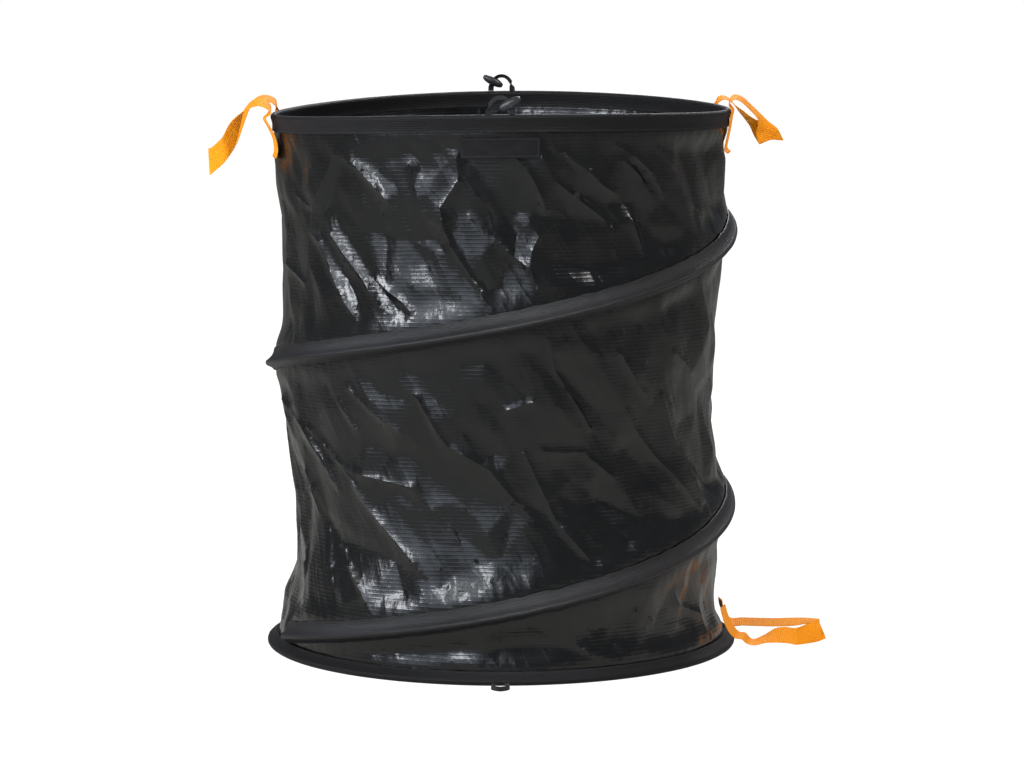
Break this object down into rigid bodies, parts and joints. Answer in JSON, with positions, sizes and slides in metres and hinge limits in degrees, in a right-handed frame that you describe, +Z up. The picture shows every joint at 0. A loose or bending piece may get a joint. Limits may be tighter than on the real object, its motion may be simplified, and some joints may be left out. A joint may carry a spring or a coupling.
{
  "type": "pop up leaf bag",
  "caption": "Pop-up leaf bag: a spiral wire holds a woven film tube open, with webbing handles on rim and base, and toggles that tie it down flat.",
  "frame": {"origin": "middle of the bottom panel's underside, on the floor", "axes": "+Z up along the bag's axis; the label and the front toggle face -Y; the base handle is on the +X side"},
  "size_m": [0.7888, 0.6498, 0.6983],
  "materials": {
    "film": "glossy black woven polyethylene film, ribbed by its tapes, creased",
    "tape": "matt black woven tape, stitched along its edge",
    "webbing": "orange polypropylene webbing, ribbed weave",
    "ribbon": "narrow black woven ribbon",
    "label": "bare black woven patch",
    "plastic": "black moulded plastic, satin",
    "steel": "bright drawn spring steel wire, crimped steel ferrules"
  },
  "bodies": {
    "base": {"bag_wall": "film", "bottom_panel": "film", "base_sleeve": "tape", "base_hoop_wire": "steel", "base_hoop_ferrule": "steel", "spiral_sleeve": "tape", "spiral_wire": "steel", "spiral_bottom_tip": "plastic", "base_handle_front_tail": "webbing", "base_handle_rear_tail": "webbing"},
    "rim": {"rim_sleeve": "tape", "rim_hoop_wire": "steel", "rim_hoop_ferrule": "steel", "spiral_top_tip": "plastic", "label_patch": "label", "left_handle_front_tail": "webbing", "left_handle_rear_tail": "webbing", "right_handle_front_tail": "webbing", "right_handle_rear_tail": "webbing"},
    "left_handle": {"left_handle_loop": "webbing"},
    "right_handle": {"right_handle_loop": "webbing"},
    "base_handle": {"base_handle_loop": "webbing"},
    "front_ribbon": {"front_toggle_ribbon": "ribbon"},
    "front_toggle": {"front_toggle_peg": "plastic"},
    "rear_ribbon": {"rear_toggle_ribbon": "ribbon"},
    "rear_toggle": {"rear_toggle_peg": "plastic"},
    "front_closure": {"front_closure_loop": "ribbon"},
    "rear_closure": {"rear_closure_loop": "ribbon"}
  },
  "joints": [
    {"name": "collapse", "type": "slide", "parent": "base", "child": "rim", "axis": [0, 0, 1], "range_m": [-0.56, 0], "stiffness_N_per_m": 60, "springref_m": 0.25, "deforming": ["bag_wall", "spiral_sleeve", "spiral_wire"]},
    {"name": "left_handle_swing", "type": "hinge", "parent": "rim", "child": "left_handle", "pos_m": [-0.27783, 0, 0.6649], "axis": [0, 1, 0], "range_deg": [-12, 120]},
    {"name": "right_handle_swing", "type": "hinge", "parent": "rim", "child": "right_handle", "pos_m": [0.27631, 0.02904, 0.67099], "axis": [0.1045, -0.9945, 0], "range_deg": [-15, 120]},
    {"name": "base_handle_swing", "type": "hinge", "parent": "base", "child": "base_handle", "pos_m": [0.28949, -0.03043, 0.00412], "axis": [-0.1045, -0.9945, 0], "range_deg": [0, 85]},
    {"name": "front_toggle_swing", "type": "hinge", "parent": "rim", "child": "front_ribbon", "pos_m": [0, -0.2815, 0.6778], "axis": [1, 0, 0], "range_deg": [-75, 75]},
    {"name": "rear_toggle_swing", "type": "hinge", "parent": "rim", "child": "rear_ribbon", "pos_m": [0, 0.2815, 0.6778], "axis": [-1, 0, 0], "range_deg": [-75, 75]},
    {"name": "front_toggle_turn", "type": "hinge", "parent": "front_ribbon", "child": "front_toggle", "pos_m": [0.01132, -0.2815, 0.68956], "axis": [-0.4529, 0, 0.8915], "range_deg": [-60, 60]},
    {"name": "rear_toggle_turn", "type": "hinge", "parent": "rear_ribbon", "child": "rear_toggle", "pos_m": [-0.01132, 0.2815, 0.68956], "axis": [0.4529, 0, 0.8915], "range_deg": [-60, 60]},
    {"name": "front_closure_fold", "type": "hinge", "parent": "base", "child": "front_closure", "pos_m": [0, -0.29442, 0.0033], "axis": [-1, 0, 0], "range_deg": [0, 65]},
    {"name": "rear_closure_fold", "type": "hinge", "parent": "base", "child": "rear_closure", "pos_m": [0, 0.29442, 0.0033], "axis": [1, 0, 0], "range_deg": [0, 65]}
  ]
}
